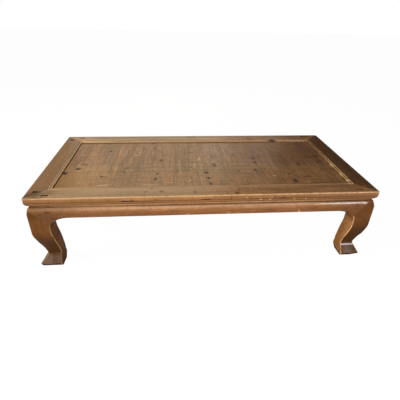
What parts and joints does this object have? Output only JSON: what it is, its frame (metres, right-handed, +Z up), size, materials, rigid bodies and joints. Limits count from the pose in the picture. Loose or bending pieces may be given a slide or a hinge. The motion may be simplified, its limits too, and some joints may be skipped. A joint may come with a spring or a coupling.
{
  "type": "kang table",
  "caption": "Low long wooden table with a mitred frame and sunken panel top, a low waist, bulging aprons with mitred shoulders and three-bend legs with out-turned feet.",
  "frame": {"origin": "on the floor below the middle of the top", "axes": "+X along the table's length, +Y from the front to the back across its depth, +Z up"},
  "size_m": [1.8, 0.88, 0.42],
  "materials": {
    "frame_wood": "worn satin lacquer",
    "panel_wood": "worn satin lacquer",
    "waist_wood": "dull lacquer",
    "apron_wood": "satin lacquer",
    "leg_wood": "satin lacquer",
    "batten_wood": "bare, aged",
    "wedge_wood": "bare end grain"
  },
  "bodies": {
    "root": {"front_frame_rail": "frame_wood", "front_waist": "waist_wood", "front_apron": "apron_wood", "back_frame_rail": "frame_wood", "back_waist": "waist_wood", "back_apron": "apron_wood", "left_frame_rail": "frame_wood", "left_waist": "waist_wood", "left_apron": "apron_wood", "right_frame_rail": "frame_wood", "right_waist": "waist_wood", "right_apron": "apron_wood", "front_panel_board": "panel_wood", "middle_panel_board": "panel_wood", "back_panel_board": "panel_wood", "panel_batten_1": "batten_wood", "panel_batten_2": "batten_wood", "panel_batten_3": "batten_wood", "panel_batten_4": "batten_wood", "front_left_leg": "leg_wood", "front_right_leg": "leg_wood", "back_left_leg": "leg_wood", "back_right_leg": "leg_wood", "leg_tenon_wedges": "wedge_wood"}
  },
  "joints": []
}
